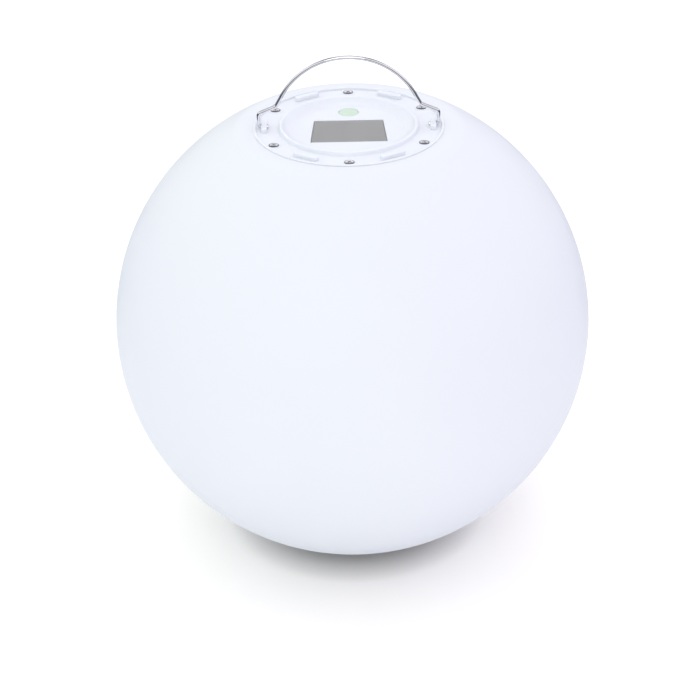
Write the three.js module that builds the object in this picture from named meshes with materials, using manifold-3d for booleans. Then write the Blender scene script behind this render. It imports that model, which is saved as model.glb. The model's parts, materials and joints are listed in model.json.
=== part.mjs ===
// Floating pool light: a blow-moulded ball with a screwed-on solar cap and a swinging wire handle.
// Millimetres, +Z up. The origin is the middle of the flat foot that the ball stands on.
// +Y points to the push button's side of the cap, and the handle swings about an axis along X.
import * as THREE from 'three'
import { mergeVertices } from 'three/addons/utils/BufferGeometryUtils.js'
import Module from 'manifold-3d'

const wasm = await Module()
wasm.setup()

// ---- Driving dimensions ----
const BALL_R = 200 // outer radius of the ball
const BALL_Z = 195 // height of the ball's centre above its foot
const WALL = 3 // ball wall
const CAP_Z = BALL_Z + 178 // top face of the cap's flange
const CAP_R = 78 // outer radius of the cap
const CAP_SCREW_R = 69.6 // pitch radius of the six cap screws
const WIRE_R = 1.5 // handle wire
const CLEAR = 0.1 // gap between faces that touch in the real object

// Heights in the cap and in all that hangs under it are counted from the top face of its flange.
const LANDING = 0.6 // flat ring of the ball round the cap
const DISH = { radius: 44, floor: -2, bottom: -5, bend: 12.8 } // dished middle of the cap
const HINGE = 1.7 // axis of the handle's swing
const PANEL = { front: 61.4, rear: 56, depth: 42, y: -4 } // solar panel, narrower at its rear edge
const BUTTON = { radius: 8, y: 33.6 }
const HOUSING = { radius: 50, wall: 2.4, top: -6.1, bottom: -47 } // electronics housing
const BOARD = { radius: 45, bottom: -18.6, top: -17 } // main board
const CELL = { radius: 9.2, length: 65, z: -32 } // battery cell, lying along X
const DOME = { radius: 37, wall: 2, depth: 24, top: HOUSING.bottom - 0.8 } // lamp's diffuser

const SIDES = 36 // facets of a large round piece
const INNER_SIDES = 24 // facets of a round piece inside the ball
const SMALL_SIDES = 10 // facets of a small round piece

// ---- Materials ----
const finish = (color, roughness, metalness = 0) =>
  new THREE.MeshStandardMaterial({ color, roughness, metalness })
const look = {
  ball: finish('#eef0f9', 0.45),
  cap: finish('#eff2fa', 0.3),
  chrome: finish('#d5d6dc', 0.08, 1),
  steel: finish('#b4b5bd', 0.25, 1),
  brass: finish('#c9a45a', 0.3, 1),
  silicone: finish('#d5ecd2', 0.55),
  seal: finish('#8d8f94', 0.7),
  cells: finish('#a3a3a3', 0.35),
  window: finish('#dfe4ea', 0.08),
  board: finish('#1f6b45', 0.45),
  tape: finish('#f4f4f2', 0.8),
  housing: finish('#e9eaec', 0.5),
  black: finish('#1c1d20', 0.5),
  socket: finish('#f3efe2', 0.4),
  battery: finish('#2f6fb5', 0.35),
  aluminium: finish('#e4e6ea', 0.4, 1),
  led: finish('#f6e9a8', 0.25),
  diffuser: finish('#f5f6f8', 0.5),
  iron: finish('#4a4c50', 0.75, 1),
  lead: finish('#b03030', 0.5)
}

// ---- Solid helpers ----
function solidOf (geometry) {
  const bare = geometry.clone()
  bare.deleteAttribute('normal')
  bare.deleteAttribute('uv')
  const merged = mergeVertices(bare, 1e-4)
  const vertProperties = merged.attributes.position.array
  const triVerts = new Uint32Array(merged.index.array)
  const solid = new wasm.Manifold(new wasm.Mesh({ numProp: 3, vertProperties, triVerts }))
  if (solid.volume() > 0) return solid
  for (let i = 0; i < triVerts.length; i += 3) {
    [triVerts[i + 1], triVerts[i + 2]] = [triVerts[i + 2], triVerts[i + 1]]
  }
  return new wasm.Manifold(new wasm.Mesh({ numProp: 3, vertProperties, triVerts }))
}

function geometryOf (solid) {
  const { vertProperties, triVerts } = solid.getMesh()
  return new THREE.BufferGeometry()
    .setAttribute('position', new THREE.BufferAttribute(new Float32Array(vertProperties), 3))
    .setIndex(new THREE.BufferAttribute(new Uint32Array(triVerts), 1))
}

const join = solids => solids.reduce((sum, solid) => sum.add(solid))
const cut = (body, tools) => tools.reduce((left, tool) => left.subtract(tool), body)

// A profile of [radius, height] points turned about the Z axis. A ring's profile closes on itself.
function turned (profile, { sides = SIDES, ring = false } = {}) {
  const outline = ring ? [...profile, profile[0]] : profile
  const points = outline.map(([r, z]) => new THREE.Vector2(r, z))
  return solidOf(new THREE.LatheGeometry(points, sides).rotateX(Math.PI / 2))
}

const rod = (radius, bottom, top, sides = SMALL_SIDES) =>
  turned([[0, bottom], [radius, bottom], [radius, top], [0, top]], { sides })

const tube = (inner, outer, bottom, top, sides = INNER_SIDES) =>
  turned([[inner, bottom], [outer, bottom], [outer, top], [inner, top]], { sides, ring: true })

const block = (width, depth, bottom, top) =>
  solidOf(new THREE.BoxGeometry(width, depth, top - bottom)).translate([0, 0, (bottom + top) / 2])

// A block whose four upright edges are rounded.
function slab (width, depth, corner, bottom, top) {
  const [x, y] = [width / 2 - corner, depth / 2 - corner]
  const shape = new THREE.Shape()
  shape.absarc(x, y, corner, 0, Math.PI / 2)
  shape.absarc(-x, y, corner, Math.PI / 2, Math.PI)
  shape.absarc(-x, -y, corner, Math.PI, Math.PI * 1.5)
  shape.absarc(x, -y, corner, Math.PI * 1.5, Math.PI * 2)
  const options = { depth: top - bottom, bevelEnabled: false, curveSegments: 2 }
  return solidOf(new THREE.ExtrudeGeometry(shape, options)).translate([0, 0, bottom])
}

// A round section swept along a curve.
function swept (path, radius, steps, sides) {
  const circle = Array.from({ length: sides }, (_, i) => {
    const turn = i / sides * 2 * Math.PI
    return new THREE.Vector2(radius * Math.cos(turn), radius * Math.sin(turn))
  })
  const options = { steps, bevelEnabled: false, extrudePath: path }
  return solidOf(new THREE.ExtrudeGeometry(new THREE.Shape(circle), options))
}

// A pan-head screw that points down, with a cross recess and its head's underside at z = 0.
function panScrew ({ shank, length, head, height }) {
  const body = turned([
    [0, -length], [shank, -length], [shank, 0], [head, 0],
    [head, height * 0.45], [head * 0.75, height], [0, height]
  ], { sides: SMALL_SIDES })
  const slot = block(head * 1.15, head * 0.26, height * 0.4, height + 1)
  return cut(body, [slot, slot.rotate([0, 0, 90])])
}

// ---- Outlines and places ----
// Points on an arc in the [radius, height] plane, by angle in degrees from straight up.
const arc = (cx, cz, radius, from, to, steps) =>
  Array.from({ length: steps + 1 }, (_, i) => {
    const turn = THREE.MathUtils.degToRad(from + (to - from) * i / steps)
    return [cx + radius * Math.sin(turn), cz + radius * Math.cos(turn)]
  })

// An arc of the bend radius that rounds the corner b of the polyline a, b, c.
function bend (a, b, c, radius, steps) {
  const [before, corner, after] = [a, b, c].map(([x, y]) => new THREE.Vector2(x, y))
  const back = before.sub(corner).normalize()
  const on = after.sub(corner).normalize()
  const half = Math.acos(back.dot(on)) / 2
  const centre = back.clone().add(on).normalize().multiplyScalar(radius / Math.sin(half)).add(corner)
  const start = back.clone().multiplyScalar(radius / Math.tan(half)).add(corner).sub(centre)
  const end = on.clone().multiplyScalar(radius / Math.tan(half)).add(corner).sub(centre)
  const sweep = Math.atan2(start.cross(end), start.dot(end))
  return Array.from({ length: steps + 1 }, (_, i) => {
    const point = start.clone().rotateAround(new THREE.Vector2(), sweep * i / steps).add(centre)
    return [point.x, point.y]
  })
}

// Places on a circle about the Z axis, from a first angle in degrees.
const around = (count, radius, first) =>
  Array.from({ length: count }, (_, i) => {
    const degrees = first + 360 * i / count
    const turn = THREE.MathUtils.degToRad(degrees)
    return { x: radius * Math.cos(turn), y: radius * Math.sin(turn), degrees }
  })

// A copy of a solid at each place, turned to face it.
const copies = (solid, places) =>
  places.map(({ x, y, degrees = 0 }) => solid.rotate([0, 0, degrees]).translate([x, y, 0]))

const bothSides = [-1, 1]

// ---- Scene graph ----
const light = new THREE.Group()
const cap = new THREE.Group()
cap.position.z = CAP_Z
light.add(cap)

function add (group, name, solid, material, { x = 0, y = 0, degrees = 0 } = {}) {
  const mesh = new THREE.Mesh(geometryOf(solid), material)
  mesh.name = name
  mesh.position.set(x, y, 0)
  mesh.rotation.z = THREE.MathUtils.degToRad(degrees)
  group.add(mesh)
}

// Adds name_1, name_2 and so on, one at each place.
const addEach = (group, name, solid, material, places) =>
  places.forEach((place, i) => add(group, `${name}_${i + 1}`, solid, material, place))

const capScrewPlaces = around(6, CAP_SCREW_R, 30)

// ---- Ball ----
const LANDING_Z = CAP_Z + LANDING
const LANDING_BEND = 25 // fillet between the ball and the flat ring round the cap
const RECESS_R = CAP_R - 1.6 // recess that the cap lies in, hidden by the lip round the cap
const SEAT_Z = CAP_Z - 3.8 // ledge under the cap's flange
const SEAT_BOTTOM = SEAT_Z - 4
const MOUTH_R = 60 // opening that the electronics drop through
const INSERT = { bore: 2.1, radius: 2.9, depth: 9 }
const INSERT_BOSS = { radius: 5.2, bottom: SEAT_BOTTOM - 8.2, hole: INSERT.radius + 0.15 }
const BALLAST = { radius: 42, top: 15.2, bossRadius: 6.5, bossTop: 14.9 }
const BALLAST_SCREW = { shank: 2.4, head: 10, height: 3.4, washer: 1.2 }

function ballShell () {
  const footAngle = THREE.MathUtils.radToDeg(Math.acos(BALL_Z / BALL_R))
  const bendZ = LANDING_Z - LANDING_BEND
  const bendR = Math.sqrt((BALL_R - LANDING_BEND) ** 2 - (bendZ - BALL_Z) ** 2)
  const bendAngle = THREE.MathUtils.radToDeg(Math.atan2(bendR, bendZ - BALL_Z))
  const innerFoot = THREE.MathUtils.radToDeg(Math.acos((BALL_Z - WALL) / (BALL_R - WALL)))
  const shell = turned([
    [0, 0],
    ...arc(0, BALL_Z, BALL_R, 180 - footAngle, 90, 8),
    ...arc(0, BALL_Z, BALL_R, 90, bendAngle, 6).slice(1),
    ...arc(bendR, bendZ, LANDING_BEND, bendAngle, 0, 3).slice(1),
    [RECESS_R, LANDING_Z],
    [RECESS_R, SEAT_Z],
    [MOUTH_R, SEAT_Z],
    [MOUTH_R, SEAT_BOTTOM],
    [CAP_R, SEAT_BOTTOM],
    ...arc(bendR, bendZ, LANDING_BEND - WALL, 0, bendAngle, 2),
    ...arc(0, BALL_Z, BALL_R - WALL, bendAngle, 180 - innerFoot, 9).slice(1),
    [0, WALL]
  ])
  const bosses = copies(rod(INSERT_BOSS.radius, INSERT_BOSS.bottom, SEAT_Z - 1), capScrewPlaces)
  const insertHole = rod(INSERT_BOSS.hole, SEAT_Z - INSERT.depth - 0.8, SEAT_Z + 1)
  const ballastBoss = rod(BALLAST.bossRadius, WALL / 2, BALLAST.bossTop)
  const ballastHole = rod(BALLAST_SCREW.shank + 0.2, WALL + 2, BALLAST.bossTop + 1)
  return cut(join([shell, ...bosses, ballastBoss]), [...copies(insertHole, capScrewPlaces), ballastHole])
}
add(light, 'ball_shell', ballShell(), look.ball)

const insert = tube(INSERT.bore, INSERT.radius, SEAT_Z - INSERT.depth, SEAT_Z - 0.2, SMALL_SIDES)
addEach(light, 'threaded_insert', insert, look.brass, capScrewPlaces)

const ballastRing = tube(BALLAST.bossRadius + 0.6, BALLAST.radius, WALL + 0.2, BALLAST.top)
add(light, 'ballast_weight', ballastRing, look.iron)

function ballastScrew () {
  const { shank, head, height, washer } = BALLAST_SCREW
  const underside = BALLAST.top + 0.2
  return turned([
    [0, WALL + 4], [shank, WALL + 4], [shank, underside], [head, underside],
    [head, underside + washer], [head / 2, underside + height - 0.2], [0, underside + height]
  ], { sides: SMALL_SIDES })
}
add(light, 'ballast_screw', ballastScrew(), look.steel)

// ---- Cap ----
const FLANGE_BOTTOM = -3.5
const SEAL = { inner: 61, outer: 64, bottom: SEAT_Z - CAP_Z + CLEAR, top: -2.5 }
const BLOCK = { length: 22, width: 5, height: 3.5, pitch: 68.8 } // raised blocks between the screws
const EAR = { length: 20, width: 5, height: 4, x: 68.7 } // the two blocks that carry the handle
const BLOCK_CORNER = 1.2
const PIN_HOLE_R = WIRE_R + 0.35
const SCREW_PAD = { radius: 5.5, height: 0.6 } // raised seats that the screw heads are sunk in
const CAP_SCREW = { shank: 1.9, length: 12, head: 4.1, dome: 0.5, hole: 2.2, sink: 4.3 }
const POCKET = { floor: -4.1, gap: 0.4 } // the panel's pocket in the dish
const PANEL_LEAD = { x: 20, y: -10, hole: 2.2 } // where the panel's lead goes down
const BUTTON_HOLE_R = BUTTON.radius + 0.3
const SMALL_SCREW = { shank: 1.2, length: 7, head: 2.7, height: 2, thread: 1.4, hole: 1.7 }
const housingScrewPlaces = around(3, 53, 30)

// Flange with a lip round its edge that overlaps the ball, dish with a bead round its mouth, and seal
// groove and skirt below.
const capBody = () => turned([
  [0, DISH.floor],
  ...arc(DISH.radius, DISH.floor + DISH.bend, DISH.bend, 180, 131, 4),
  [54.6, 3.05], [55.6, 3.2], [56.5, 2.8], [57.4, 0.5], [58, 0],
  [75.4, 0], [75.9, 1.4], [76.6, 1.8], [77.5, 1.7], [CAP_R, 1.2], [CAP_R, LANDING + CLEAR],
  [RECESS_R - 0.3, LANDING + CLEAR], [RECESS_R - 0.3, FLANGE_BOTTOM],
  [SEAL.outer + 0.2, FLANGE_BOTTOM], [SEAL.outer + 0.2, SEAL.top + 0.2],
  [SEAL.inner - 0.2, SEAL.top + 0.2], [SEAL.inner - 0.2, FLANGE_BOTTOM],
  [59.4, FLANGE_BOTTOM], [59.4, -6.5], [56.8, -6.5], [56.2, -1.5], [53, -2],
  [51.5, DISH.bottom], [0, DISH.bottom]
])

// A layer of the panel, its outline drawn in by an inset, between two heights above the pocket's floor.
function panelLayer (inset, bottom, top) {
  const front = PANEL.front / 2 - inset
  const rear = PANEL.rear / 2 - inset
  const y = PANEL.depth / 2 - inset
  const corners = [[-front, -y], [front, -y], [rear, y], [-rear, y]]
  const shape = new THREE.Shape(corners.map(corner => new THREE.Vector2(...corner)))
  const options = { depth: top - bottom, bevelEnabled: false }
  return solidOf(new THREE.ExtrudeGeometry(shape, options)).translate([0, PANEL.y, POCKET.floor + bottom])
}

function capPlate () {
  const blockPlaces = around(6, BLOCK.pitch, 0).filter(({ degrees }) => degrees % 180 !== 0)
  const blocks = copies(slab(BLOCK.width, BLOCK.length, BLOCK_CORNER, -1, BLOCK.height), blockPlaces)
  const ear = slab(EAR.width, EAR.length, BLOCK_CORNER, -1, EAR.height)
  const ears = bothSides.map(side => ear.translate([side * EAR.x, 0, 0]))
  const pads = copies(rod(SCREW_PAD.radius, -1, SCREW_PAD.height, INNER_SIDES), capScrewPlaces)
  const screwBosses = copies(rod(3.2, DISH.bottom - 0.9, -0.8), housingScrewPlaces)
  const pinHole = rod(PIN_HOLE_R, -6, 6).rotate([0, 90, 0])
  const { hole, sink } = CAP_SCREW
  const screwHole = turned([
    [0, FLANGE_BOTTOM - 1], [hole, FLANGE_BOTTOM - 1], [hole, hole - sink], [sink + 1, 1], [0, 1]
  ], { sides: SMALL_SIDES }).translate([0, 0, SCREW_PAD.height])
  return cut(join([capBody(), ...blocks, ...ears, ...pads, ...screwBosses]), [
    ...copies(screwHole, capScrewPlaces),
    ...copies(rod(SMALL_SCREW.thread, -7, -1.2), housingScrewPlaces),
    ...bothSides.map(side => pinHole.translate([side * (EAR.x - 1), 0, HINGE])),
    panelLayer(-POCKET.gap, 0, -POCKET.floor),
    rod(PANEL_LEAD.hole, DISH.bottom - 1, DISH.floor).translate([PANEL_LEAD.x, PANEL_LEAD.y, 0]),
    rod(BUTTON_HOLE_R, DISH.bottom - 1, 0, INNER_SIDES).translate([0, BUTTON.y, 0])
  ])
}
add(cap, 'cap_plate', capPlate(), look.cap)
add(cap, 'cap_gasket', tube(SEAL.inner, SEAL.outer, SEAL.bottom, SEAL.top, SIDES), look.seal)

// A countersunk screw with a cross recess in its slightly domed head.
function capScrew () {
  const { shank, length, head, dome } = CAP_SCREW
  const body = turned([
    [0, -length], [shank, -length], [shank, shank - head], [head, 0], [head * 0.6, dome * 0.8], [0, dome]
  ], { sides: SMALL_SIDES })
  const slot = block(head * 1.1, head * 0.24, -head * 0.25, dome + 1)
  return cut(body, [slot, slot.rotate([0, 0, 90])])
}
addEach(cap, 'cap_screw', capScrew().translate([0, 0, SCREW_PAD.height]), look.steel, capScrewPlaces)

// ---- Handle ----
// Corners of one half of the wire's centreline, as [x, height above the swing's axis].
const PIN_TIP = [65, 0]
const PIN_CORNER = [73, 0]
const KNEE = [73, 11.3]
const BOW_FOOT = [58.6, 17.5]
const BOW = { radius: 60.8, drop: 2, halfAngle: 64 } // drop: its centre's depth below the axis
const PIN_BEND = 2.2
const WIRE_BEND = 2.8

// A polyline whose sections stand at its own points, close together only where the wire bends.
class StationPath extends THREE.Curve {
  constructor (stations) {
    super()
    this.stations = stations
  }

  getPoint (t, target = new THREE.Vector3()) {
    const last = this.stations.length - 1
    const i = Math.min(Math.floor(t * last), last - 1)
    return target.lerpVectors(this.stations[i], this.stations[i + 1], t * last - i)
  }

  getPointAt (u, target) {
    return this.getPoint(u, target)
  }

  getTangentAt (u, target) {
    return this.getTangent(u, target)
  }
}

function carryHandle () {
  const bow = arc(0, -BOW.drop, BOW.radius, BOW.halfAngle, 0, 9)
  const half = [
    PIN_TIP,
    ...bend(PIN_TIP, PIN_CORNER, KNEE, PIN_BEND, 4),
    ...bend(PIN_CORNER, KNEE, BOW_FOOT, WIRE_BEND, 3),
    ...bend(KNEE, BOW_FOOT, bow[0], WIRE_BEND, 3),
    ...bow
  ]
  const mirrored = half.slice(0, -1).reverse().map(([x, z]) => [-x, z])
  const stations = [...half, ...mirrored].map(([x, z]) => new THREE.Vector3(x, 0, z + HINGE))
  return swept(new StationPath(stations), WIRE_R, stations.length - 1, SMALL_SIDES)
}
add(cap, 'carry_handle', carryHandle(), look.chrome)

// ---- Push button, held up against the dish by its flange ----
const STEM = { radius: 2.5, bottom: -12 }
const BUTTON_FLANGE = { radius: 10.8, bottom: -6.4, top: -5.4 }
const RETAINER = { bore: 3.2, radius: 13.2, bottom: -9.4, shelf: -7.8 }

const powerButton = turned([
  [0, STEM.bottom], [STEM.radius, STEM.bottom], [STEM.radius, BUTTON_FLANGE.bottom],
  [BUTTON_FLANGE.radius, BUTTON_FLANGE.bottom], [BUTTON_FLANGE.radius, BUTTON_FLANGE.top],
  [BUTTON.radius, BUTTON_FLANGE.top], [BUTTON.radius, DISH.floor - 0.1],
  [BUTTON.radius - 0.6, DISH.floor + 0.15], [5, DISH.floor + 0.4], [0, DISH.floor + 0.5]
], { sides: INNER_SIDES })
add(cap, 'power_button', powerButton, look.silicone, BUTTON)

const buttonRetainer = turned([
  [RETAINER.bore, RETAINER.bottom], [RETAINER.radius, RETAINER.bottom],
  [RETAINER.radius, DISH.bottom - CLEAR], [BUTTON_FLANGE.radius + 0.5, DISH.bottom - CLEAR],
  [BUTTON_FLANGE.radius + 0.5, RETAINER.shelf], [RETAINER.bore, RETAINER.shelf]
], { sides: INNER_SIDES, ring: true })
add(cap, 'button_retainer', buttonRetainer, look.housing, BUTTON)

// ---- Solar panel, in layers on the floor of its pocket ----
const tapeHole = rod(PANEL_LEAD.hole, POCKET.floor - 1, POCKET.floor + 1)
add(cap, 'panel_tape', cut(panelLayer(0.5, 0.05, 0.35), copies(tapeHole, [PANEL_LEAD])), look.tape)
add(cap, 'panel_board', panelLayer(0, 0.4, 1.4), look.board)
add(cap, 'solar_cells', panelLayer(0.6, 1.45, 1.7), look.cells)
add(cap, 'panel_window', panelLayer(0, 1.75, 2.25), look.window)

// ---- Electronics housing under the cap ----
const HOUSING_FLOOR = HOUSING.bottom + HOUSING.wall
const LIP = { radius: 52.5, bottom: HOUSING.top - 2.5 }
const LED_LEAD = { x: -14, y: 24, hole: 2.2 }
const postPlaces = around(3, 40, -30) // posts that carry the main board and take the lamp's screws
const ledScrewPlaces = around(2, 30, 90)

function housingCup () {
  const { radius, wall, top, bottom } = HOUSING
  const cup = turned([
    [0, bottom], [radius, bottom], [radius, LIP.bottom], [LIP.radius, LIP.bottom],
    [LIP.radius, top], [radius - wall, top], [radius - wall, HOUSING_FLOOR], [0, HOUSING_FLOOR]
  ], { sides: INNER_SIDES })
  const ears = copies(rod(3.3, LIP.bottom, top), housingScrewPlaces)
  const posts = copies(rod(3.4, bottom + 1, BOARD.bottom - CLEAR), postPlaces)
  const lampBosses = copies(rod(3.2, bottom + 1, HOUSING_FLOOR + 6), ledScrewPlaces)
  return cut(join([cup, ...ears, ...posts, ...lampBosses]), [
    ...copies(rod(SMALL_SCREW.hole, LIP.bottom - 1, top + 1), housingScrewPlaces),
    ...copies(rod(SMALL_SCREW.thread, BOARD.bottom - 8, BOARD.bottom + 1), postPlaces),
    ...copies(rod(SMALL_SCREW.thread, bottom - 1, bottom + 9), postPlaces),
    ...copies(rod(SMALL_SCREW.thread, bottom - 1, bottom + 6.6), ledScrewPlaces),
    ...copies(rod(LED_LEAD.hole, bottom - 1, HOUSING_FLOOR + 1), [LED_LEAD])
  ])
}
add(cap, 'module_housing', housingCup(), look.housing)
add(cap, 'housing_gasket', tube(47.8, 49.6, HOUSING.top + CLEAR, DISH.bottom - CLEAR), look.seal)

// Small screws that point up stand with their heads below the piece that they hold.
const smallScrew = panScrew(SMALL_SCREW)
const upwards = bottom => smallScrew.rotate([180, 0, 0]).translate([0, 0, bottom - CLEAR])
addEach(cap, 'housing_screw', upwards(LIP.bottom), look.steel, housingScrewPlaces)

// ---- Main board and what is soldered to it ----
const boardHoles = copies(rod(SMALL_SCREW.hole, BOARD.bottom - 1, BOARD.top + 1), postPlaces)
const mainBoard = cut(rod(BOARD.radius, BOARD.bottom, BOARD.top, INNER_SIDES), boardHoles)
add(cap, 'main_board', mainBoard, look.board)
addEach(cap, 'board_screw', smallScrew.translate([0, 0, BOARD.top + CLEAR]), look.steel, postPlaces)

const SOLDER = 0.05 // gap under each component
const SOCKET_HEIGHT = 6
const SWITCH_TOP = BOARD.top + 3.5
const SWITCH_BORE = { radius: 2.05, floor: SWITCH_TOP - 2.4 }
const onBoard = (width, depth, height) => block(width, depth, BOARD.top + SOLDER, BOARD.top + height)
const socketAbove = onBoard(8, 6, SOCKET_HEIGHT)
const socketBelow = block(8, 6, BOARD.bottom - SOCKET_HEIGHT, BOARD.bottom - SOLDER)
const switchBore = rod(SWITCH_BORE.radius, SWITCH_BORE.floor, SWITCH_TOP + 1)
const plunger = rod(SWITCH_BORE.radius - 0.3, SWITCH_BORE.floor + 1.2, STEM.bottom - CLEAR)
add(cap, 'tact_switch', cut(onBoard(6, 6, 3.5), [switchBore]), look.black, BUTTON)
add(cap, 'switch_plunger', plunger, look.socket, BUTTON)
add(cap, 'controller_chip', onBoard(10, 6.2, 1.7), look.black, { x: -16, y: 6 })
add(cap, 'infrared_receiver', onBoard(5.4, 4, 7), look.black, { x: -28, y: 24 })
add(cap, 'capacitor', rod(3.2, BOARD.top + SOLDER, BOARD.top + 7.4), look.aluminium, { x: 12, y: 6 })
add(cap, 'panel_socket', socketAbove, look.socket, { x: 24, y: -24 })
add(cap, 'battery_socket', socketBelow, look.socket, { x: 24, y: 22 })
add(cap, 'led_socket', socketBelow, look.socket, { x: -24, y: 22 })

// ---- Battery, strapped down on its cradle ----
const STRAP = { width: 10, inner: CELL.radius + 0.5, outer: CELL.radius + 1.9 }
const cellRod = (radius, length) =>
  rod(radius, -length / 2, length / 2, INNER_SIDES).rotate([0, 90, 0]).translate([0, 0, CELL.z])
add(cap, 'battery_cell', cellRod(CELL.radius, CELL.length), look.battery)
const cradleBlock = block(56, 26, HOUSING_FLOOR + CLEAR, CELL.z - 3)
const cradleBed = cellRod(CELL.radius + 0.4, CELL.length)
add(cap, 'battery_cradle', cut(cradleBlock, [cradleBed]), look.black)

function batteryStrap () {
  const footTop = CELL.z - 1.2
  const footBottom = CELL.z - 2.8
  const foot = block(STRAP.width, 3.4, footBottom, footTop)
  const feet = bothSides.map(side => foot.translate([0, side * 11.2, 0]))
  const belowFeet = block(40, 40, footBottom - 20, footBottom)
  const bore = cellRod(STRAP.inner, STRAP.width + 2)
  return cut(join([cellRod(STRAP.outer, STRAP.width), ...feet]), [belowFeet, bore])
}
add(cap, 'battery_strap', batteryStrap(), look.tape)

// ---- Lamp under the housing ----
const LED_BOARD = { radius: 34, bottom: HOUSING.bottom - 1.8, top: HOUSING.bottom - 0.2 }
const ledHoles = copies(rod(SMALL_SCREW.hole, LED_BOARD.bottom - 1, LED_BOARD.top + 1), ledScrewPlaces)
const ledBoard = cut(rod(LED_BOARD.radius, LED_BOARD.bottom, LED_BOARD.top, INNER_SIDES), ledHoles)
add(cap, 'led_board', ledBoard, look.aluminium)
addEach(cap, 'led_board_screw', upwards(LED_BOARD.bottom), look.steel, ledScrewPlaces)
const led = slab(5, 5, 0.6, LED_BOARD.bottom - 1.6, LED_BOARD.bottom - SOLDER)
addEach(cap, 'led', led, look.led, around(4, 22, 45))

const DOME_RIM = { radius: 44, bottom: DOME.top - 2.2 }
function diffuserDome () {
  const bowl = (radius, depth, steps) => Array.from({ length: steps + 1 }, (_, i) => {
    const turn = i / steps * Math.PI / 2
    return [radius * Math.sin(turn), DOME_RIM.bottom - depth * Math.cos(turn)]
  })
  const dome = turned([
    ...bowl(DOME.radius, DOME.depth, 6),
    [DOME_RIM.radius, DOME_RIM.bottom],
    [DOME_RIM.radius, DOME.top],
    [DOME.radius - DOME.wall, DOME.top],
    ...bowl(DOME.radius - DOME.wall, DOME.depth - DOME.wall, 5).reverse()
  ], { sides: INNER_SIDES })
  return cut(dome, copies(rod(SMALL_SCREW.hole, DOME_RIM.bottom - 1, DOME.top + 1), postPlaces))
}
add(cap, 'diffuser_dome', diffuserDome(), look.diffuser)
add(cap, 'diffuser_gasket', tube(35.2, 37.8, DOME.top + CLEAR, HOUSING.bottom - CLEAR), look.seal)
addEach(cap, 'diffuser_screw', upwards(DOME_RIM.bottom), look.steel, postPlaces)

// ---- Leads, each clipped at both ends inside the housing ----
const LEAD = { radius: 1.2, sides: 8 }
function addLead (name, points, steps) {
  const path = new THREE.CatmullRomCurve3(points.map(point => new THREE.Vector3(...point)))
  add(cap, name, swept(path, LEAD.radius, steps, LEAD.sides), look.lead)
}
addLead('panel_lead', [
  [PANEL_LEAD.x, PANEL_LEAD.y, POCKET.floor + 0.2],
  [PANEL_LEAD.x, PANEL_LEAD.y, -8],
  [21.5, -13, -11.5],
  [24, -17, -13.8],
  [24, -20.7, -13.8]
], 14)
addLead('battery_lead', [
  [CELL.length / 2 + 0.6, 0, CELL.z],
  [37, 0.8, CELL.z],
  [39.5, 11, CELL.z + 5],
  [35, 20, CELL.z + 10],
  [28.3, 22, CELL.z + 10]
], 18)
addLead('led_lead', [
  [-24, 22, BOARD.bottom - SOCKET_HEIGHT - 0.3],
  [-23, 22, -31],
  [-16.5, 23, -38],
  [LED_LEAD.x, LED_LEAD.y, -43],
  [LED_LEAD.x, LED_LEAD.y, LED_BOARD.top + 0.3]
], 16)

export default light
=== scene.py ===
"""The looks of the floating pool light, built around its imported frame.

The frame is in metres with +Z up. Outlines here are in millimetres, and their heights are counted from the
top face of the cap's flange, which lies LANDING below the ball's highest point.
"""
import json
import math

import bmesh
import bpy
from mathutils import Matrix, Vector


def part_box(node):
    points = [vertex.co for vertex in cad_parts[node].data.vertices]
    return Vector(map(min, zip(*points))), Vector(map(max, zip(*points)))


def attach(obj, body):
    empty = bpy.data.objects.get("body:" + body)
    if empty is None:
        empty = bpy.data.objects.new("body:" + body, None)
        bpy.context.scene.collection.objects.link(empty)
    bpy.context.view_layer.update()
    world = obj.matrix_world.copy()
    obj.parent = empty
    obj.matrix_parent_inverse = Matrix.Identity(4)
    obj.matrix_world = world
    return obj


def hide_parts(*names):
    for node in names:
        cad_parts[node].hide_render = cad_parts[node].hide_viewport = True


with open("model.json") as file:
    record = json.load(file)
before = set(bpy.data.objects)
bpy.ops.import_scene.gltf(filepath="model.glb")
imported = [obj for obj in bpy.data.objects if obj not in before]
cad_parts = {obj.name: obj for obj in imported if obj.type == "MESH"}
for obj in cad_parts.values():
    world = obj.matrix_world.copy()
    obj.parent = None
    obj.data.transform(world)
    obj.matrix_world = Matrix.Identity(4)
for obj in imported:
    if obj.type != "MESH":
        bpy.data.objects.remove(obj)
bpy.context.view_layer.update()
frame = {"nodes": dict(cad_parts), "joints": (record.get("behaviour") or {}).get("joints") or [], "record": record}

MM = 0.001
LANDING = 0.6  # the flat ring round the cap, above the cap's flange
FACE_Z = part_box("ball_shell")[1].z / MM - LANDING
HINGE = next(j for j in frame["joints"] if j["name"] == "handle_swing")["pos_m"][2] / MM - FACE_Z
BODY_OF = {node: body for body, nodes in frame["record"]["behaviour"]["bodies"].items() for node in nodes}
SLOT_OF = {part["node"]: part["material_slot"] for part in frame["record"]["subparts"]}

# ---- Driving dimensions, in mm ----
BALL_R = (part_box("ball_shell")[1].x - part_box("ball_shell")[0].x) / 2 / MM
BALL_CENTRE = -178.0
BALL_FOOT = -FACE_Z
WALL = 3.0
LANDING_BEND = 25.0  # between the landing and the ball
RECESS_R = 76.4
SEAT = -3.8
SEAT_BOTTOM = -7.8
MOUTH_R = 60.0  # the opening below the cap
INSERT_BOSS = {"radius": 5.2, "bottom": -16.0, "hole": 3.05, "hole_bottom": -13.6}
BALLAST_BOSS = {"radius": 6.5, "height": 14.9, "hole": 2.6, "hole_floor": 5.0}

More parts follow.
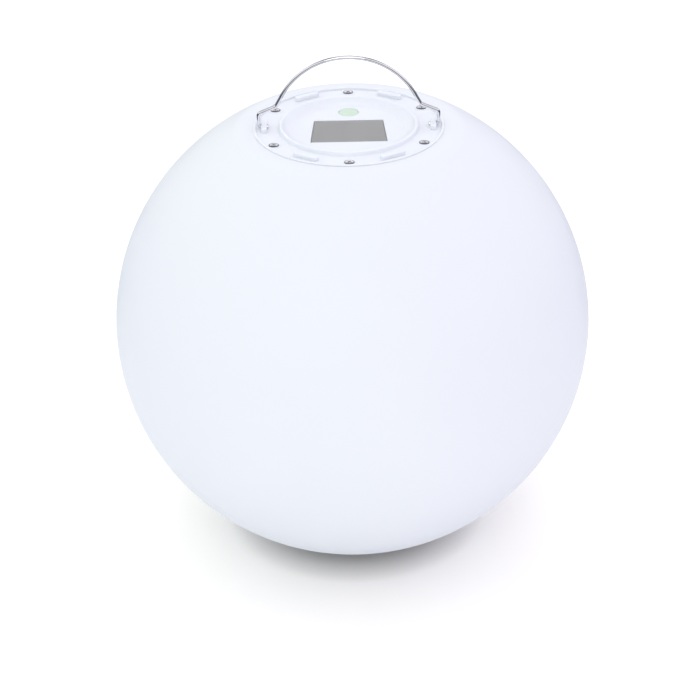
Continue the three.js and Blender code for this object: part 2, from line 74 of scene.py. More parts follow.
CAP_R = 78.0
CAP_SCREW_R = 69.6
FIRST_SCREW = 30.0
DISH_FLOOR = -2.0
DISH_R = 44.0
DISH_BEND = 12.8
DISH_UNDERSIDE = -5.0
DISH_EDGE = {"inner": 54.5, "outer": 56.4, "foot": 57.6, "height": 3.2}
UNDER_DISH_EDGE = [(56.2, -1.5, 0), (53.0, -2.0, 0)]  # a hollow that keeps the wall there even
LIP = {"foot": 75.4, "inner": 75.8, "outer": 77.9, "height": 1.8, "underside": 0.65}
FLANGE_UNDERSIDE = -3.5
GASKET_GROOVE = {"inner": 60.8, "outer": 64.2, "top": -2.3}
SKIRT = {"inner": 56.8, "outer": 59.4, "bottom": -6.5}
BLOCK = {"length": 22.0, "width": 5.0, "height": 3.5, "pitch": 68.8, "corner": 1.9, "edge": 1.1}
EAR = {"x": 68.7, "length": 20.0, "width": 5.0, "height": 4.0, "corner": 1.9, "edge": 1.0, "clearance": 0.35}
PAD = {"radius": 5.5, "height": 0.6, "slope": 0.5}
COUNTERSINK = {"hole": 2.2, "depth": 2.1, "rim": 5.6, "rise": 3.1}
HOUSING_STUD = {"pitch": 53.0, "radius": 3.2, "bottom": -5.9, "top": -0.8, "hole": 1.4, "hole_top": -1.2}
LEAD_HOLE = {"x": 20.0, "y": -10.0, "radius": 2.2, "top": -3.0}
ROOT = -1.0  # how far down a raised feature reaches into the plate
BELOW_CAP = -9.0  # below every part of the plate

SCREW = {"length": 12.0, "shank": 1.9, "head": 4.1, "dome": 0.5, "bevel": 0.8, "recess_depth": 1.3}
SCREW_TURNS = (12, 48, 81, 20, 63, 5)
WIRE_R = 1.5
HANDLE = {"end": 65.0, "knee": (73.0, 11.3), "foot": (58.6, 17.5)}
BOW = {"radius": 60.8, "z": -2.0, "half_angle": 64}
BUTTON = {"y": 33.6, "radius": 8.0, "dome": 0.5, "clearance": 0.3}
BUTTON_FLANGE = {"radius": 10.8, "bottom": -6.4, "top": -5.4}
BUTTON_STEM = {"radius": 2.5, "bottom": -12.0}
PANEL = {"front": 61.4, "rear": 56.0, "depth": 42.0, "y": -4.0, "corner": 0.8, "clearance": 0.4}
POCKET_FLOOR = -4.1
CELLS = {"inset": 0.15, "bottom": 1.45, "top": 1.7, "edge": 0.03}
WINDOW = {"inset": 0.0, "bottom": 1.75, "top": 2.25, "edge": 0.12}

# ---- Mesh quality ----
SIDES = 192
SMALL_SIDES = 48
HOLE_SIDES = 32
ON_AXIS = 1e-6
SMALLEST_BEND = 0.02
SHARP_ANGLE = math.radians(32)

# ---- Light. A ramp holds (place, colour), and a light (name, place in m, size in m, watts, colour) ----
FLOOR_SEEN = (1.045, 1.02, 0.965)  # what the camera sees of it, before its shade
# Painted shadow: the floor's colour for the camera darkens where the ball lies close above it.
FLOOR_SHADE = {"reach": 0.026, "power": 0.4}
# Painted pool of light for the gloss: the floor's colour is white near FLOOR_LIT_CENTRE and dark further away.
FLOOR_LIT_CENTRE = (0, -0.3, 0)
FLOOR_GLOSS = [(0.7, (1.0, 1.0, 1.0)), (0.85, (0.04, 0.04, 0.06))]
AMBIENT = [(0.0, (1.0, 1.08, 1.2)), (1.0, (0.96, 0.955, 1.21)), (0.5, (0.915, 0.915, 0.905))]
FRONT = [(0.08, (1.25, 1.24, 1.22)), (0.9, (1.08, 1.075, 1.07)), (0.5, (0.995, 0.99, 0.985))]
GLOSS = [(0.54, (0.12, 0.12, 0.14)), (0.66, (1.0, 1.0, 1.02))]
OVERHEAD = [(0.86, (1.0, 1.0, 1.0)), (0.93, (0.12, 0.12, 0.14))]
BACKDROP = (1.2, 1.2, 1.2, 1)  # brighter than white, so that it stays white behind the floor's far edge
LIGHTS = [
    ("key_softbox", (-0.1, -2.6, 2.0), 1.6, 13.3, (1.0, 1.0, 0.99)),
    ("top_softbox", (0.1, 0.9, 2.9), 1.8, 8.0, (1.0, 1.0, 1.0)),
]
LIGHTS_AIM = Vector((0, 0, 0.22))


# ---- Camera ----
def aim_camera():
    """From the front, 28.7 degrees above the horizon, 2 m from the ball's centre, and tilted by a degree."""
    elevation, distance, lens, sensor = math.radians(28.68), 2.0, 120.9, 36.0
    turn_right, turn_up, roll = math.radians(-0.074), math.radians(-0.764), math.radians(-1.11)
    centre = Vector((0, 0, (FACE_Z + BALL_CENTRE) * MM))
    back = Vector((0, -math.cos(elevation), math.sin(elevation)))
    right = Vector((1, 0, 0))
    forward = (-back + right * math.tan(turn_right) + back.cross(right) * math.tan(turn_up)).normalized()
    level = forward.cross(back.cross(right)).normalized()
    upright = level.cross(forward)
    side = math.cos(roll) * level + math.sin(roll) * upright
    up = math.cos(roll) * upright - math.sin(roll) * level
    turned_to = Matrix((side, up, -forward)).transposed().to_4x4()
    camera = bpy.data.objects.new("camera", bpy.data.cameras.new("camera"))
    bpy.context.scene.collection.objects.link(camera)
    camera.data.sensor_width = sensor
    camera.data.lens = lens
    camera.matrix_world = Matrix.Translation(centre + back * distance) @ turned_to
    bpy.context.scene.camera = camera


# ---- Materials ----
class Nodes:
    """A node tree, with short calls for the nodes that the materials and the surroundings share."""

    def __init__(self, tree):
        self.tree = tree

    def new(self, kind):
        return self.tree.nodes.new("ShaderNode" + kind)

    def link(self, source, target):
        self.tree.links.new(source, target)

    def feed(self, sockets, values):
        """Links each socket to its value, or sets it where the value is a plain one."""
        for socket, value in zip(sockets, values):
            if isinstance(value, bpy.types.NodeSocket):
                self.link(value, socket)
            else:
                socket.default_value = value

    def math(self, operation, *values):
        node = self.new("Math")
        node.operation = operation
        self.feed(node.inputs, values)
        return node.outputs[0]

    def vector_math(self, operation, a, b):
        node = self.new("VectorMath")
        node.operation = operation
        self.feed(node.inputs, (a, b))
        return node.outputs["Value"]

    def mix(self, blend, factor, a, b):
        node = self.new("MixRGB")
        node.blend_type = blend
        self.feed(node.inputs, (factor, a, b))
        return node.outputs["Color"]

    def ramp(self, factor, stops):
        node = self.new("ValToRGB")
        elements = node.color_ramp.elements
        for k, (place, color) in enumerate(stops):
            stop = elements[k] if k < len(elements) else elements.new(place)
            stop.position = place
            stop.color = (*color, 1)
        self.link(factor, node.inputs["Fac"])
        return node.outputs["Color"]


class Shader(Nodes):
    """A Principled material, with short calls for what varies over its surface."""

    NOISE_LOW, NOISE_HIGH = 0.3, 0.7

    def __init__(self, name, **sockets):
        self.material = bpy.data.materials.new(name)
        self.material.use_nodes = True
        super().__init__(self.material.node_tree)
        self.surface = self.tree.nodes["Principled BSDF"].inputs
        for socket, value in sockets.items():
            self.surface[socket.replace("_", " ")].default_value = value
        self.place = self.new("TexCoord").outputs["Object"]

    def noise(self, size, detail=3.0, stretch=(1, 1, 1)):
        """Noise whose features are about size mm across, longer along an axis by its stretch."""
        mapping = self.new("Mapping")
        mapping.inputs["Scale"].default_value = [1 / s for s in stretch]
        noise = self.new("TexNoise")
        noise.inputs["Scale"].default_value = 1 / (size * MM)
        noise.inputs["Detail"].default_value = detail
        self.link(self.place, mapping.inputs["Vector"])
        self.link(mapping.outputs["Vector"], noise.inputs["Vector"])
        return noise.outputs["Fac"]

    def openness(self, reach):
        """1 on open surface, and less where something lies within reach m."""
        node = self.new("AmbientOcclusion")
        node.inputs["Distance"].default_value = reach
        return node.outputs["AO"]

    def vary_color(self, pattern, low, high):
        color = self.ramp(pattern, [(self.NOISE_LOW, low), (self.NOISE_HIGH, high)])
        self.link(color, self.surface["Base Color"])
        return color

    def vary_roughness(self, pattern, low, high):
        spread = self.new("MapRange")
        spread.inputs["From Min"].default_value = self.NOISE_LOW
        spread.inputs["From Max"].default_value = self.NOISE_HIGH
        spread.inputs["To Min"].default_value = low
        spread.inputs["To Max"].default_value = high
        self.link(pattern, spread.inputs["Value"])
        self.link(spread.outputs["Result"], self.surface["Roughness"])

    def bump(self, pattern, depth, strength):
        """Raises the surface by up to depth mm where the pattern is bright."""
        bump = self.new("Bump")
        bump.inputs["Distance"].default_value = depth * MM
        bump.inputs["Strength"].default_value = strength
        self.link(pattern, bump.inputs["Height"])
        self.link(bump.outputs["Normal"], self.surface["Normal"])


def shade(color, factor):
    """The colour made darker or lighter by a factor."""
    return tuple(min(1.0, c * factor) for c in color)


def moulded(name, color, roughness, grain=1.6, depth=0.02, spread=0.06, **sockets):
    """Moulded plastic or rubber: a fine texture from the mould, and slow changes in colour and gloss."""
    s = Shader(name, **sockets)
    s.vary_color(s.noise(60, 2), shade(color, 0.985), shade(color, 1.01))
    s.vary_roughness(s.noise(18, 4), roughness - spread, roughness + spread)
    s.bump(s.noise(grain, 4), depth, 0.35)
    return s.material


def polished(name, color, roughness, scratch=(1, 1, 1), painted_shade_reach=0.0, **sockets):
    """Metal with fine scratches, longer along an axis by scratch. Painted shade darkens its crevices, as far as
    the given reach in mm.
    """
    s = Shader(name, Metallic=1.0, **sockets)
    scratches = s.noise(0.35, 5, scratch)
    shine = s.vary_color(s.noise(6, 2), shade(color, 0.95), shade(color, 1.03))
    # Painted shade: the colour goes nearly black where other surfaces lie close, standing in for shadow in
    # crevices.
    if painted_shade_reach:
        unshaded = s.ramp(s.openness(painted_shade_reach * MM), [(0.45, (0.02, 0.02, 0.03)), (0.9, (1, 1, 1))])
        s.link(s.mix("MULTIPLY", 1.0, shine, unshaded), s.surface["Base Color"])
    s.vary_roughness(scratches, roughness * 0.6, roughness * 1.5)
    s.bump(scratches, 0.004, 0.25)
    return s.material


def ball_plastic():
    """Rotation-moulded polyethylene, nearly matte, with a slightly uneven skin."""
    color = (0.74, 0.757, 0.775)
    s = Shader("ball_polyethylene", IOR=1.5, Specular_IOR_Level=0.06)
    s.vary_color(s.noise(140, 2), shade(color, 0.992), shade(color, 1.008))
    s.vary_roughness(s.noise(30, 4), 0.44, 0.56)
    s.bump(s.noise(2.2, 5), 0.03, 0.35)
    return s.material


def cell_grid():
    """Grey solar cells under a fine grid of silver fingers."""
    pitch, half_width = 1.2, 0.1
    s = Shader("solar_cells", Specular_IOR_Level=0.4)
    parts = s.new("SeparateXYZ")
    s.link(s.place, parts.inputs[0])

    def lines(axis):
        along = s.math("FRACT", s.math("MULTIPLY", parts.outputs[axis], 1 / (pitch * MM)), 0)
        from_middle = s.math("ABSOLUTE", s.math("SUBTRACT", along, 0.5), 0)
        return s.math("LESS_THAN", from_middle, half_width)

    grid = s.math("MAXIMUM", lines("X"), lines("Y"))
    mixed = s.math("ADD", s.math("MULTIPLY", s.noise(3.0, 4), 0.25), s.math("MULTIPLY", grid, 0.35))
    s.vary_color(mixed, (0.25, 0.247, 0.237), (0.318, 0.314, 0.304))
    s.vary_roughness(s.noise(9, 3), 0.3, 0.45)
    s.bump(grid, 0.02, 0.4)
    return s.material


def clear_window():
    """A clear sheet, seen only by its gloss and by a faint haze."""
    s = Shader("panel_window", IOR=1.45, Alpha=0.1)
    s.vary_color(s.noise(30, 3), (0.64, 0.64, 0.63), (0.68, 0.68, 0.67))
    s.vary_roughness(s.noise(12, 3), 0.04, 0.1)
    s.bump(s.noise(14, 2), 0.01, 0.3)
    return s.material


def button_silicone():
    """Pale green silicone with a soft skin."""
    color = (0.585, 0.71, 0.58)
    s = Shader("button_silicone", IOR=1.41, Specular_IOR_Level=0.3)
    s.vary_color(s.noise(7, 3), shade(color, 0.985), shade(color, 1.01))
    s.vary_roughness(s.noise(5, 3), 0.5, 0.62)
    s.bump(s.noise(0.7, 4), 0.02, 0.4)
    return s.material


def circuit_board():
    """Green solder mask that shows the copper below it as lighter patches."""
    s = Shader("circuit_board", Coat_Weight=0.3, Coat_Roughness=0.2)
    s.vary_color(s.noise(2.5, 1), (0.010, 0.10, 0.045), (0.03, 0.19, 0.09))
    s.vary_roughness(s.noise(4, 3), 0.35, 0.5)
    s.bump(s.noise(1.2, 2), 0.03, 0.5)
    return s.material


MATERIALS = {
    "ball": ball_plastic(),
    "cap": moulded("cap_plastic", (0.765, 0.785, 0.82), 0.34, grain=0.9, depth=0.004, spread=0.03, IOR=1.5,
                   Subsurface_Weight=0.4, Subsurface_Radius=(1, 1, 1), Subsurface_Scale=0.002),
    "chrome": polished("handle_steel", (0.80, 0.80, 0.84), 0.09),
    "steel": polished("screw_steel", (0.88, 0.88, 0.92), 0.12, painted_shade_reach=0.9),
    # Steel painted dark as shade, for the bevel and the recess of the screw heads.
    "steel in painted shade": polished("screw_steel_in_shade", (0.27, 0.27, 0.29), 0.3),
    "brass": polished("insert_brass", (0.80, 0.58, 0.25), 0.25, scratch=(1, 1, 8)),
    "silicone": button_silicone(),
    "seal": moulded("sealing_rubber", (0.24, 0.245, 0.26), 0.7, grain=0.8, depth=0.03),
    "cells": cell_grid(),
    "window": clear_window(),
    "board": circuit_board(),
    "tape": moulded("adhesive_tape", (0.88, 0.88, 0.86), 0.8, grain=0.5, depth=0.05),
    "housing": moulded("housing_plastic", (0.78, 0.80, 0.82), 0.5),
    "black": moulded("black_plastic", (0.012, 0.012, 0.014), 0.45, grain=0.6, depth=0.015),
    "socket": moulded("connector_plastic", (0.86, 0.82, 0.72), 0.4, grain=0.8, depth=0.01),
    "battery": moulded("battery_sleeve", (0.03, 0.15, 0.42), 0.32, grain=2.0, Coat_Weight=0.2),
    "aluminium": polished("aluminium", (0.76, 0.77, 0.79), 0.35, scratch=(6, 1, 1)),
    "led": moulded("led_phosphor", (0.90, 0.74, 0.22), 0.25, grain=0.5, depth=0.01),
    "diffuser": moulded("diffuser_plastic", (0.88, 0.89, 0.90), 0.5, grain=1.0),
    "iron": polished("cast_iron", (0.10, 0.10, 0.11), 0.62),
    "lead": moulded("lead_insulation", (0.42, 0.03, 0.03), 0.45, grain=0.8, depth=0.01),
}


# ---- Mesh helpers ----
def rounded(outline, steps=6):
    """Points (r, z) of an outline of (r, z, bend) corners, with an arc where bend, its radius, isn't 0."""
    points = []
    for i, (r, z, bend) in enumerate(outline):
        corner = Vector((r, z))
        if not bend:
            points.append(corner)
            continue
        back = (Vector(outline[i - 1][:2]) - corner).normalized()
        on = (Vector(outline[(i + 1) % len(outline)][:2]) - corner).normalized()
        half = back.angle(on) / 2
        centre = corner + (back + on).normalized() * (bend / math.sin(half))
        start = corner + back * (bend / math.tan(half)) - centre
        end = corner + on * (bend / math.tan(half)) - centre
        sweep = math.atan2(start.x * end.y - start.y * end.x, start.dot(end))
        points += [centre + Matrix.Rotation(sweep * k / steps, 2) @ start for k in range(steps + 1)]
    return points


def arc(centre_r, centre_z, radius, first, last, steps):
    """Corners on an arc, by angle in degrees from straight up."""
    turns = [math.radians(first + (last - first) * k / steps) for k in range(steps + 1)]
    return [(centre_r + radius * math.sin(t), centre_z + radius * math.cos(t), 0) for t in turns]


def joined_rows(made, rows):
    """Closes the skin between rings of vertices. A ring of one vertex is a point."""
    for low, high in zip(rows, rows[1:]):
        count = max(len(low), len(high))
        for i in range(count):
            j = (i + 1) % count
            corners = [low[i % len(low)], low[j % len(low)], high[j % len(high)], high[i % len(high)]]
            made.faces.new(dict.fromkeys(corners))


def turned(points, sides=SIDES):
    """A bmesh of (r, z) points turned about the Z axis."""
    made = bmesh.new()
    rows = []
    for r, z in points:
        count = 1 if r < ON_AXIS else sides
        turns = [2 * math.pi * k / sides for k in range(count)]
        rows.append([made.verts.new((r * math.cos(t), r * math.sin(t), z)) for t in turns])
    joined_rows(made, rows)
    bmesh.ops.recalc_face_normals(made, faces=made.faces)
    return made


def rod(radius, bottom, top, sides=HOLE_SIDES):
    """A bmesh of an upright cylinder."""
    return turned([(0, bottom), (radius, bottom), (radius, top), (0, top)], sides)


def slab(width, depth, corner, bottom, top, edge=0.0, steps=5):
    """A bmesh of a block with rounded upright edges, and with its top edge rounded by edge."""
    made = bmesh.new()
    levels = [(0.0, bottom), (0.0, top - edge)]
    if edge:
        turns = [math.pi / 2 * k / steps for k in range(1, steps + 1)]
        levels += [(edge * (1 - math.cos(t)), top - edge + edge * math.sin(t)) for t in turns]
    rows = []
    for inset, z in levels:
        bend = max(corner - inset, SMALLEST_BEND)
        x, y = width / 2 - inset - bend, depth / 2 - inset - bend
        row = []
        for quarter, (cx, cy) in enumerate([(x, y), (-x, y), (-x, -y), (x, -y)]):
            for k in range(steps + 1):
                t = math.pi / 2 * (quarter + k / steps)
                row.append(made.verts.new((cx + bend * math.cos(t), cy + bend * math.sin(t), z)))
        rows.append(row)
    joined_rows(made, rows)
    made.faces.new(reversed(rows[0]))
    made.faces.new(rows[-1])
    bmesh.ops.recalc_face_normals(made, faces=made.faces)
    return made


def moved(made, x=0.0, y=0.0, z=0.0, turn=0.0):
    """The bmesh turned about Z by degrees, then moved."""
    made.transform(Matrix.Translation((x, y, z)) @ Matrix.Rotation(math.radians(turn), 4, "Z"))
    return made


def merged(parts):
    """One bmesh of several that don't touch each other."""
    whole = bmesh.new()
    for part in parts:
        mesh = bpy.data.meshes.new("part")
        part.to_mesh(mesh)
        part.free()
        whole.from_mesh(mesh)
        bpy.data.meshes.remove(mesh)
    return whole


def plain_object(name, made):
    """Puts a bmesh into the scene as an object."""
    mesh = bpy.data.meshes.new(name)
    made.to_mesh(mesh)
    made.free()
    piece = bpy.data.objects.new(name, mesh)
    bpy.context.scene.collection.objects.link(piece)
    return piece


def combined(made, tools, operation):
    """The bmesh joined with, or cut by, the tools."""
    body, tool = plain_object("body", made), plain_object("tool", merged(tools))
    step = body.modifiers.new(operation, "BOOLEAN")
    step.operation, step.solver, step.object = operation, "EXACT", tool
    done = body.evaluated_get(bpy.context.evaluated_depsgraph_get())
    result = bmesh.new()
    result.from_mesh(done.to_mesh())
    done.to_mesh_clear()
    for used in (body, tool):
        bpy.data.objects.remove(used)
    return result


def around(count, radius, first):
    """(x, y, degrees) of places on a circle."""
    turns = [first + 360 * k / count for k in range(count)]
    return [(radius * math.cos(math.radians(t)), radius * math.sin(math.radians(t)), t) for t in turns]


def smooth(mesh):
    """Smooth shading that breaks at sharp edges."""
    made = bmesh.new()
    made.from_mesh(mesh)
    for face in made.faces:
        face.smooth = True
    for edge in made.edges:
        edge.smooth = edge.calc_face_angle(math.pi) < SHARP_ANGLE
    made.to_mesh(mesh)
    made.free()


def show(node, made):
    """Makes a bmesh in mm from the cap's face into the piece that stands for a CAD node."""
    made.transform(Matrix.Scale(MM, 4) @ Matrix.Translation((0, 0, FACE_Z)))
    piece = plain_object(node + "_fine", made)
    smooth(piece.data)
    even = piece.modifiers.new("even_normals", "WEIGHTED_NORMAL")
    even.keep_sharp = True
    piece.data.materials.append(MATERIALS[SLOT_OF[node]])
    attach(piece, BODY_OF[node])
    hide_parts(node)
    return piece


CAP_SCREW_PLACES = around(6, CAP_SCREW_R, FIRST_SCREW)
STUD_PLACES = around(3, HOUSING_STUD["pitch"], FIRST_SCREW)


# ---- Ball ----
def ball_outline():
    """From the foot up the outside, over the landing, down into the cap's seat and back along the inside."""
    foot = math.degrees(math.acos((BALL_CENTRE - BALL_FOOT) / BALL_R))
    bend_z = LANDING - LANDING_BEND
    bend_r = math.sqrt((BALL_R - LANDING_BEND) ** 2 - (bend_z - BALL_CENTRE) ** 2)
    bend_turn = math.degrees(math.atan2(bend_r, bend_z - BALL_CENTRE))
    inner_foot = math.degrees(math.acos((BALL_CENTRE - BALL_FOOT - WALL) / (BALL_R - WALL)))
    outline = [(0, BALL_FOOT, 0)]
    outline += arc(0, BALL_CENTRE, BALL_R, 180 - foot, bend_turn, 72)
    outline += arc(bend_r, bend_z, LANDING_BEND, bend_turn, 0, 12)[1:]
    outline += [(RECESS_R, LANDING, 0.5), (RECESS_R, SEAT, 0.3)]
    outline += [(MOUTH_R, SEAT, 0.5), (MOUTH_R, SEAT_BOTTOM, 0.5), (CAP_R, SEAT_BOTTOM, 0)]
    outline += arc(bend_r, bend_z, LANDING_BEND - WALL, 0, bend_turn, 8)
    outline += arc(0, BALL_CENTRE, BALL_R - WALL, bend_turn, 180 - inner_foot, 48)[1:]
    outline += [(0, BALL_FOOT + WALL, 0)]
    return outline


def boss(radius, bottom, top, low_bend=0, high_bend=0):
    """A rod with its bottom or its top edge rounded."""
    outline = [(0, bottom, 0), (radius, bottom, low_bend), (radius, top, high_bend), (0, top, 0)]
    return turned(rounded(outline), HOLE_SIDES)


def ball_shell():
    """The ball's wall, with bosses inside it for the six threaded inserts and for the ballast."""
    insert, ballast = INSERT_BOSS, BALLAST_BOSS
    bosses = [moved(boss(insert["radius"], insert["bottom"], SEAT - 1, 0.8), x, y)
              for x, y, _ in CAP_SCREW_PLACES]
    bosses.append(boss(ballast["radius"], BALL_FOOT + 1, BALL_FOOT + ballast["height"], 0, 0.6))
    holes = [moved(rod(insert["hole"], insert["hole_bottom"], 1), x, y) for x, y, _ in CAP_SCREW_PLACES]
    holes.append(rod(ballast["hole"], BALL_FOOT + ballast["hole_floor"], BALL_FOOT + 16))
    shell = combined(turned(rounded(ball_outline(), 5)), bosses, "UNION")
    show("ball_shell", combined(shell, holes, "DIFFERENCE"))


# ---- Cap ----
def cap_outline():
    """Across the dish, its edge, the flange and the lip, and back underneath to the axis."""
    outer, edge, groove = RECESS_R - 0.3, DISH_EDGE, GASKET_GROOVE
    outline = [(0, DISH_FLOOR, 0), *arc(DISH_R, DISH_FLOOR + DISH_BEND, DISH_BEND, 180, 132, 12)]
    outline += [(edge["inner"], edge["height"], 0.9), (edge["outer"], edge["height"], 1.0)]
    outline += [(edge["foot"], 0, 0.8), (LIP["foot"], 0, 0.5)]
    outline += [(LIP["inner"], LIP["height"], 0.6), (LIP["outer"], LIP["height"], 0.8)]
    outline += [(CAP_R, LIP["underside"], 0.15), (outer, LIP["underside"], 0)]
    outline += [(outer, FLANGE_UNDERSIDE, 0.4), (groove["outer"], FLANGE_UNDERSIDE, 0)]
    outline += [(groove["outer"], groove["top"], 0), (groove["inner"], groove["top"], 0)]
    outline += [(groove["inner"], FLANGE_UNDERSIDE, 0)]
    outline += [(SKIRT["outer"], FLANGE_UNDERSIDE, 0), (SKIRT["outer"], SKIRT["bottom"], 0.4)]
    outline += [(SKIRT["inner"], SKIRT["bottom"], 0.4), *UNDER_DISH_EDGE]
    outline += [(51.5, DISH_UNDERSIDE, 0), (0, DISH_UNDERSIDE, 0)]
    return outline


def raised_block(size):
    """A block on the flange, with its rounded top above and its root in the plate."""
    return slab(size["width"], size["length"], size["corner"], ROOT, size["height"], size["edge"])


def screw_pad():
    """The low round pad that a screw's head stands on, with a sloping side."""
    radius, height, foot = PAD["radius"], PAD["height"], PAD["radius"] + PAD["slope"]
    outline = [(0, ROOT, 0), (foot, ROOT, 0), (foot, 0, 0), (radius, height, 0.7), (0, height, 0)]
    return turned(rounded(outline), 64)


def countersink():
    """The hole of a cap screw, which widens in a cone for its head."""
    hole, rim, bottom = COUNTERSINK["hole"], COUNTERSINK["rim"], PAD["height"] - COUNTERSINK["depth"]
    top = bottom + COUNTERSINK["rise"]
    return turned([(0, BELOW_CAP), (hole, BELOW_CAP), (hole, bottom), (rim, top), (0, top)], SMALL_SIDES)


def pin_hole(side):
    """The hole through an ear, for the hooked end of the wire."""
    hole = rod(WIRE_R + EAR["clearance"], -6, 6)
    place = Matrix.Translation((side * (EAR["x"] - 1), 0, HINGE))
    hole.transform(place @ Matrix.Rotation(math.pi / 2, 4, "Y"))
    return hole


def cap_plate():
    """The cap, with four blocks, two ears and six screw pads on its flange, and three studs below."""
    stud, lead, hexagon = HOUSING_STUD, LEAD_HOLE, around(6, BLOCK["pitch"], 0)
    raised = [moved(raised_block(BLOCK), x, y, turn=t) for x, y, t in hexagon if t % 180]
    raised += [moved(raised_block(EAR), side * EAR["x"]) for side in (-1, 1)]
    raised += [moved(rod(stud["radius"], stud["bottom"], stud["top"]), x, y) for x, y, _ in STUD_PLACES]
    raised += [moved(screw_pad(), x, y) for x, y, _ in CAP_SCREW_PLACES]
    cuts = [moved(countersink(), x, y) for x, y, _ in CAP_SCREW_PLACES]
    cuts += [moved(rod(stud["hole"], BELOW_CAP, stud["hole_top"], 24), x, y) for x, y, _ in STUD_PLACES]
    cuts += [pin_hole(-1), pin_hole(1)]
    cuts.append(panel_layer(-PANEL["clearance"], 0, 5))
    cuts.append(moved(rod(BUTTON["radius"] + BUTTON["clearance"], BELOW_CAP, 1, 64), 0, BUTTON["y"]))
    plate = combined(turned(rounded(cap_outline())), raised, "UNION")
    plate = combined(plate, cuts, "DIFFERENCE")
    # The lead's hole opens into the panel's pocket, so it is cut after it.
    lead_hole = moved(rod(lead["radius"], BELOW_CAP, lead["top"], 24), lead["x"], lead["y"])
    show("cap_plate", combined(plate, [lead_hole], "DIFFERENCE"))


def recess_wing():
    """One bar of the cross in a screw's head, which gets smaller towards its bottom."""
    head = SCREW["head"]
    wing = slab(head * 0.95, head * 0.2, 0.12, -SCREW["recess_depth"], SCREW["dome"] + 0.5)
    for vertex in wing.verts:
        if vertex.co.z < 0:
            vertex.co.x *= 0.4
            vertex.co.y *= 0.7
    return wing


def countersunk_screw(turn):
    """A screw with the rim of its domed head at z = 0. Its bevel and its recess are faces painted dark as shade.
    """
    length, shank, head, dome = SCREW["length"], SCREW["shank"], SCREW["head"], SCREW["dome"]
    outline = [(0, -length, 0), (shank * 0.7, -length, 0), (shank, -length + 1, 0), (shank, shank - head, 0)]
    outline += [(head, -0.6, 0.1), (head, 0.05, 0.1), (head - SCREW["bevel"], 0.25, 0.1)]
    outline += [(head * 0.5, dome * 0.9, 2), (0, dome, 0)]
    screw = turned(rounded(outline), SMALL_SIDES)
    for quarter in (0, 90):
        screw = combined(screw, [moved(recess_wing(), turn=quarter)], "DIFFERENCE")
    for face in screw.faces:
        middle = face.calc_center_median()
        bevel = math.hypot(middle.x, middle.y) > head - SCREW["bevel"] + 0.05
        recess = -SCREW["recess_depth"] - 0.1 < middle.z < 0
        # Material 1 is the steel painted dark as shade, on the bevel and the recess.
        face.material_index = int(bevel or recess)
    return moved(screw, turn=turn)


def cap_screws():
    """Six screws, each with its recess turned another way."""
    for i, ((x, y, _), turn) in enumerate(zip(CAP_SCREW_PLACES, SCREW_TURNS)):
        screw = show(f"cap_screw_{i + 1}", moved(countersunk_screw(turn), x, y, PAD["height"]))
        screw.data.materials.append(MATERIALS["steel in painted shade"])


# ---- Handle ----
def handle_path():
    """The wire's centre line (x, z) from the hinge: hooked end, knee and bow, and their mirror image."""
    bow = arc(0, BOW["z"], BOW["radius"], BOW["half_angle"], 0, 60)
    knee, foot = HANDLE["knee"], HANDLE["foot"]
    half = rounded([(HANDLE["end"], 0, 0), (knee[0], 0, 2.2), (*knee, 2.8), (*foot, 2.8), *bow], 10)
    return half + [Vector((-p.x, p.y)) for p in reversed(half[:-1])]


def carry_handle():
    """A wire along its path. A station is (point, direction, share of the radius, step along it)."""
    path, sides = handle_path(), 24
    end_rings = [(0.35, 0.0), (0.75, 0.12), (0.95, 0.3)]
    stations = [(path[0], path[1] - path[0], share, step) for share, step in end_rings]
    for i, point in enumerate(path[1:-1]):
        stations.append((point, path[min(i + 2, len(path) - 1)] - path[i], 1.0, 0.0))
    stations += [(path[-1], path[-1] - path[-2], share, -step) for share, step in reversed(end_rings)]
    made = bmesh.new()
    rows = []
    for point, along, share, step in stations:
        along = along.normalized()
        across = Vector((-along.y, along.x))
        centre = point + along * step
        row = []
        for k in range(sides):
            t = 2 * math.pi * k / sides
            x = centre.x + across.x * WIRE_R * share * math.cos(t)
            z = centre.y + across.y * WIRE_R * share * math.cos(t) + HINGE
            row.append(made.verts.new((x, WIRE_R * share * math.sin(t), z)))
        rows.append(row)
    joined_rows(made, rows)
    made.faces.new(rows[0])
    made.faces.new(rows[-1])
    bmesh.ops.recalc_face_normals(made, faces=made.faces)
    show("carry_handle", made)


# ---- Button and panel ----
def power_button():
    """The stem, the flange that keeps the button in the cap, and the slightly domed top."""
    stem, flange, radius, dome = BUTTON_STEM, BUTTON_FLANGE, BUTTON["radius"], BUTTON["dome"]
    outline = [(0, stem["bottom"], 0), (stem["radius"], stem["bottom"], 0.4)]
    outline += [(stem["radius"], flange["bottom"], 0.5)]
    outline += [(flange["radius"], flange["bottom"], 0.3), (flange["radius"], flange["top"], 0.3)]
    outline += [(radius, flange["top"], 0.2), (radius, DISH_FLOOR, 0.5)]
    outline += [(radius * 0.6, DISH_FLOOR + dome * 0.9, 12), (0, DISH_FLOOR + dome, 0)]
    show("power_button", moved(turned(rounded(outline), 96), 0, BUTTON["y"]))


def panel_layer(inset, bottom, top, edge=0.0):
    """A layer of the panel, which is narrower at its rear edge, between heights above its pocket's floor."""
    depth, width = PANEL["depth"] - 2 * inset, (PANEL["front"] + PANEL["rear"]) / 2 - 2 * inset
    layer = slab(width, depth, PANEL["corner"], POCKET_FLOOR + bottom, POCKET_FLOOR + top, edge)
    taper = (PANEL["front"] - PANEL["rear"]) / PANEL["depth"] / width
    for vertex in layer.verts:
        vertex.co.x *= 1 - taper * vertex.co.y
    return moved(layer, 0, PANEL["y"])


def solar_panel():
    """The cells, and the clear window over them."""
    show("solar_cells", panel_layer(**CELLS))
    show("panel_window", panel_layer(**WINDOW))


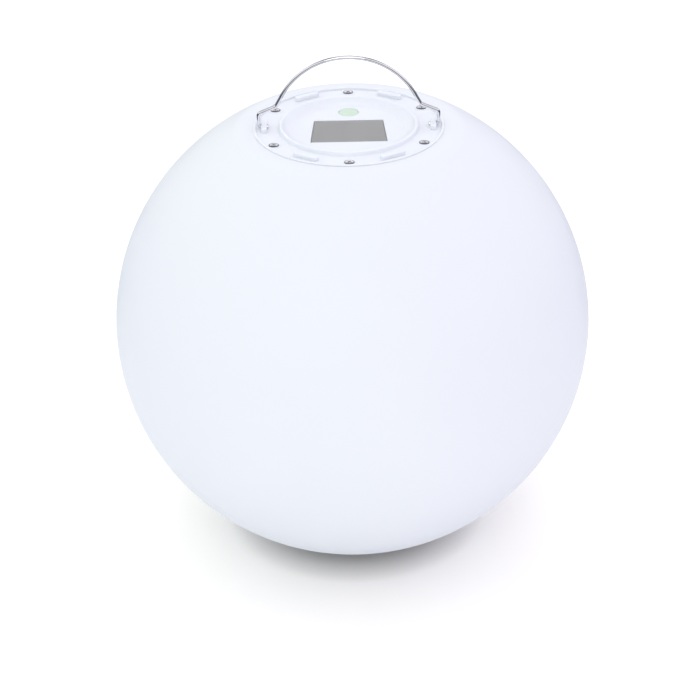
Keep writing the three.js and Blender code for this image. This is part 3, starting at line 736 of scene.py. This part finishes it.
# ---- Studio ----
def floor():
    """A pale floor: a painted shadow under the ball for the camera, a painted pool of light for the gloss."""
    ground = bmesh.new()
    bmesh.ops.create_grid(ground, x_segments=8, y_segments=8, size=12)
    sheet = plain_object("floor", ground)
    s = Shader("studio_floor", Roughness=0.9, Specular_IOR_Level=0.0)
    plain = s.vary_color(s.noise(900, 2), (0.97, 0.97, 0.97), (0.98, 0.98, 0.98))
    # Painted shadow under the ball, seen by the camera only.
    shadow = s.math("POWER", s.openness(FLOOR_SHADE["reach"]), FLOOR_SHADE["power"])
    seen = s.mix("MULTIPLY", 1.0, (*FLOOR_SEEN, 1), shadow)
    # Painted pool of light, seen by the gloss only.
    lit = s.ramp(s.vector_math("DISTANCE", s.place, FLOOR_LIT_CENTRE), FLOOR_GLOSS)
    path = s.new("LightPath").outputs
    shown = s.mix("MIX", path["Is Camera Ray"], plain, seen)
    s.link(s.mix("MIX", path["Is Glossy Ray"], shown, lit), s.surface["Base Color"])
    sheet.data.materials.append(s.material)


def surroundings():
    """Soft light from all round, bluer from the sides and brighter from above behind.

    The gloss sees white surroundings that are dark low down and overhead. The camera sees a plain backdrop.
    """
    world = bpy.data.worlds.new("studio")
    bpy.context.scene.world = world
    world.use_nodes = True
    world.node_tree.nodes.clear()
    n = Nodes(world.node_tree)
    direction = n.new("TexCoord").outputs["Generated"]

    def along(axis, stops):
        """A ramp over how far a ray's direction is along an axis, from 0 against it to 1 along it."""
        return n.ramp(n.math("MULTIPLY_ADD", n.vector_math("DOT_PRODUCT", direction, axis), 0.5, 0.5), stops)

    def background(color):
        node = n.new("Background")
        n.feed([node.inputs["Color"]], [color])
        return node.outputs[0]

    def choice(factor, otherwise, chosen):
        node = n.new("MixShader")
        n.feed(node.inputs, (factor, otherwise, chosen))
        return node.outputs[0]

    path = n.new("LightPath").outputs
    soft = background(n.mix("MULTIPLY", 1.0, along((1, 0, 0), AMBIENT), along((0, -0.8, -0.6), FRONT)))
    gloss = background(n.mix("MULTIPLY", 1.0, along((0, 0, 1), GLOSS), along((0, 0.35, 0.94), OVERHEAD)))
    lighting = choice(path["Is Glossy Ray"], soft, gloss)
    shown = choice(path["Is Camera Ray"], lighting, background(BACKDROP))
    n.link(shown, n.new("OutputWorld").inputs[0])


def softboxes():
    """Two round softboxes, aimed at the middle of the ball."""
    for name, place, size, power, color in LIGHTS:
        light = bpy.data.lights.new(name, "AREA")
        light.shape, light.size, light.energy, light.color = "DISK", size, power, color
        holder = bpy.data.objects.new(name, light)
        bpy.context.scene.collection.objects.link(holder)
        holder.location = place
        holder.rotation_euler = (LIGHTS_AIM - Vector(place)).to_track_quat("-Z", "Y").to_euler()


aim_camera()
floor()
surroundings()
softboxes()
ball_shell()
cap_plate()
cap_screws()
carry_handle()
power_button()
solar_panel()
for node, cad_piece in frame["nodes"].items():
    if not cad_piece.hide_render:
        cad_piece.data.materials.clear()
        cad_piece.data.materials.append(MATERIALS[SLOT_OF[node]])
bpy.context.scene.view_settings.view_transform = "Standard"
